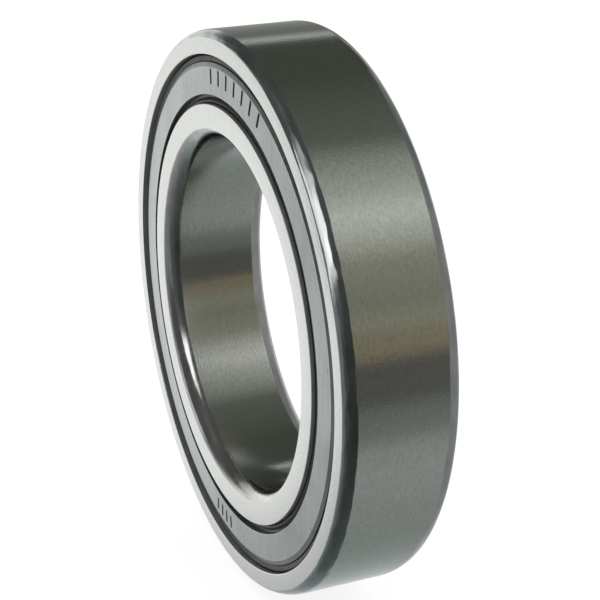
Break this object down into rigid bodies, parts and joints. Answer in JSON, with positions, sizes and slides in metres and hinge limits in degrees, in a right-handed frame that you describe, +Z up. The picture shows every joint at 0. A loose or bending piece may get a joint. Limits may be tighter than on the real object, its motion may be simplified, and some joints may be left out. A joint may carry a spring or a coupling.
{
  "type": "ball bearing",
  "caption": "Sealed single-row deep-groove ball bearing: ground steel rings, caged balls and metal-faced rubber seals recessed on both sides; the inner ring turns freely.",
  "frame": {"origin": "centre of the bore at mid-width, which is the centre of the bounding box", "axes": "+Y along the bearing axis towards the rear face, front face at -Y; +Z up, with the bearing standing on its rim; +X to the right seen from the front"},
  "size_m": [0.08, 0.016, 0.08],
  "materials": {
    "ring_steel": "hardened bearing steel, ground all over, clear oil film, fine grinding lines",
    "ball_steel": "lapped bearing steel, mirror polish",
    "cage_steel": "pressed sheet steel, tumbled",
    "rivet_steel": "soft steel, upset heads",
    "seal_plate_steel": "sheet steel, satin grey",
    "seal_rubber": "moulded black nitrile rubber"
  },
  "bodies": {
    "outer_ring": {"outer_ring": "ring_steel", "seal_front_plate": "seal_plate_steel", "seal_front_rubber": "seal_rubber", "seal_rear_plate": "seal_plate_steel", "seal_rear_rubber": "seal_rubber"},
    "inner_ring": {"inner_ring": "ring_steel"},
    "cage": {"cage_front": "cage_steel", "cage_rear": "cage_steel", "cage_rivet_01": "rivet_steel", "cage_rivet_02": "rivet_steel", "cage_rivet_03": "rivet_steel", "cage_rivet_04": "rivet_steel", "cage_rivet_05": "rivet_steel", "cage_rivet_06": "rivet_steel", "cage_rivet_07": "rivet_steel", "cage_rivet_08": "rivet_steel", "cage_rivet_09": "rivet_steel", "cage_rivet_10": "rivet_steel", "cage_rivet_11": "rivet_steel", "cage_rivet_12": "rivet_steel", "cage_rivet_13": "rivet_steel", "cage_rivet_14": "rivet_steel"},
    "ball_01": {"ball_01": "ball_steel"},
    "ball_02": {"ball_02": "ball_steel"},
    "ball_03": {"ball_03": "ball_steel"},
    "ball_04": {"ball_04": "ball_steel"},
    "ball_05": {"ball_05": "ball_steel"},
    "ball_06": {"ball_06": "ball_steel"},
    "ball_07": {"ball_07": "ball_steel"},
    "ball_08": {"ball_08": "ball_steel"},
    "ball_09": {"ball_09": "ball_steel"},
    "ball_10": {"ball_10": "ball_steel"},
    "ball_11": {"ball_11": "ball_steel"},
    "ball_12": {"ball_12": "ball_steel"},
    "ball_13": {"ball_13": "ball_steel"},
    "ball_14": {"ball_14": "ball_steel"}
  },
  "joints": [
    {"name": "inner_ring_spin", "type": "hinge", "parent": "outer_ring", "child": "inner_ring", "pos_m": [0, 0, 0], "axis": [0, 1, 0], "continuous": true},
    {"name": "cage_orbit", "type": "hinge", "parent": "outer_ring", "child": "cage", "pos_m": [0, 0, 0], "axis": [0, 1, 0], "continuous": true},
    {"name": "ball_01_roll", "type": "hinge", "parent": "cage", "child": "ball_01", "pos_m": [0, 0, 0.0325], "axis": [0, 1, 0], "continuous": true},
    {"name": "ball_02_roll", "type": "hinge", "parent": "cage", "child": "ball_02", "pos_m": [0.0141, 0, 0.02928], "axis": [0, 1, 0], "continuous": true},
    {"name": "ball_03_roll", "type": "hinge", "parent": "cage", "child": "ball_03", "pos_m": [0.02541, 0, 0.02026], "axis": [0, 1, 0], "continuous": true},
    {"name": "ball_04_roll", "type": "hinge", "parent": "cage", "child": "ball_04", "pos_m": [0.03169, 0, 0.00723], "axis": [0, 1, 0], "continuous": true},
    {"name": "ball_05_roll", "type": "hinge", "parent": "cage", "child": "ball_05", "pos_m": [0.03169, 0, -0.00723], "axis": [0, 1, 0], "continuous": true},
    {"name": "ball_06_roll", "type": "hinge", "parent": "cage", "child": "ball_06", "pos_m": [0.02541, 0, -0.02026], "axis": [0, 1, 0], "continuous": true},
    {"name": "ball_07_roll", "type": "hinge", "parent": "cage", "child": "ball_07", "pos_m": [0.0141, 0, -0.02928], "axis": [0, 1, 0], "continuous": true},
    {"name": "ball_08_roll", "type": "hinge", "parent": "cage", "child": "ball_08", "pos_m": [0, 0, -0.0325], "axis": [0, 1, 0], "continuous": true},
    {"name": "ball_09_roll", "type": "hinge", "parent": "cage", "child": "ball_09", "pos_m": [-0.0141, 0, -0.02928], "axis": [0, 1, 0], "continuous": true},
    {"name": "ball_10_roll", "type": "hinge", "parent": "cage", "child": "ball_10", "pos_m": [-0.02541, 0, -0.02026], "axis": [0, 1, 0], "continuous": true},
    {"name": "ball_11_roll", "type": "hinge", "parent": "cage", "child": "ball_11", "pos_m": [-0.03169, 0, -0.00723], "axis": [0, 1, 0], "continuous": true},
    {"name": "ball_12_roll", "type": "hinge", "parent": "cage", "child": "ball_12", "pos_m": [-0.03169, 0, 0.00723], "axis": [0, 1, 0], "continuous": true},
    {"name": "ball_13_roll", "type": "hinge", "parent": "cage", "child": "ball_13", "pos_m": [-0.02541, 0, 0.02026], "axis": [0, 1, 0], "continuous": true},
    {"name": "ball_14_roll", "type": "hinge", "parent": "cage", "child": "ball_14", "pos_m": [-0.0141, 0, 0.02928], "axis": [0, 1, 0], "continuous": true}
  ],
  "couplings": [
    {"joint": "cage_orbit", "follows": "inner_ring_spin", "ratio": 0.43284},
    {"joint": "ball_01_roll", "follows": "inner_ring_spin", "ratio": -3.6552},
    {"joint": "ball_02_roll", "follows": "inner_ring_spin", "ratio": -3.6552},
    {"joint": "ball_03_roll", "follows": "inner_ring_spin", "ratio": -3.6552},
    {"joint": "ball_04_roll", "follows": "inner_ring_spin", "ratio": -3.6552},
    {"joint": "ball_05_roll", "follows": "inner_ring_spin", "ratio": -3.6552},
    {"joint": "ball_06_roll", "follows": "inner_ring_spin", "ratio": -3.6552},
    {"joint": "ball_07_roll", "follows": "inner_ring_spin", "ratio": -3.6552},
    {"joint": "ball_08_roll", "follows": "inner_ring_spin", "ratio": -3.6552},
    {"joint": "ball_09_roll", "follows": "inner_ring_spin", "ratio": -3.6552},
    {"joint": "ball_10_roll", "follows": "inner_ring_spin", "ratio": -3.6552},
    {"joint": "ball_11_roll", "follows": "inner_ring_spin", "ratio": -3.6552},
    {"joint": "ball_12_roll", "follows": "inner_ring_spin", "ratio": -3.6552},
    {"joint": "ball_13_roll", "follows": "inner_ring_spin", "ratio": -3.6552},
    {"joint": "ball_14_roll", "follows": "inner_ring_spin", "ratio": -3.6552}
  ]
}
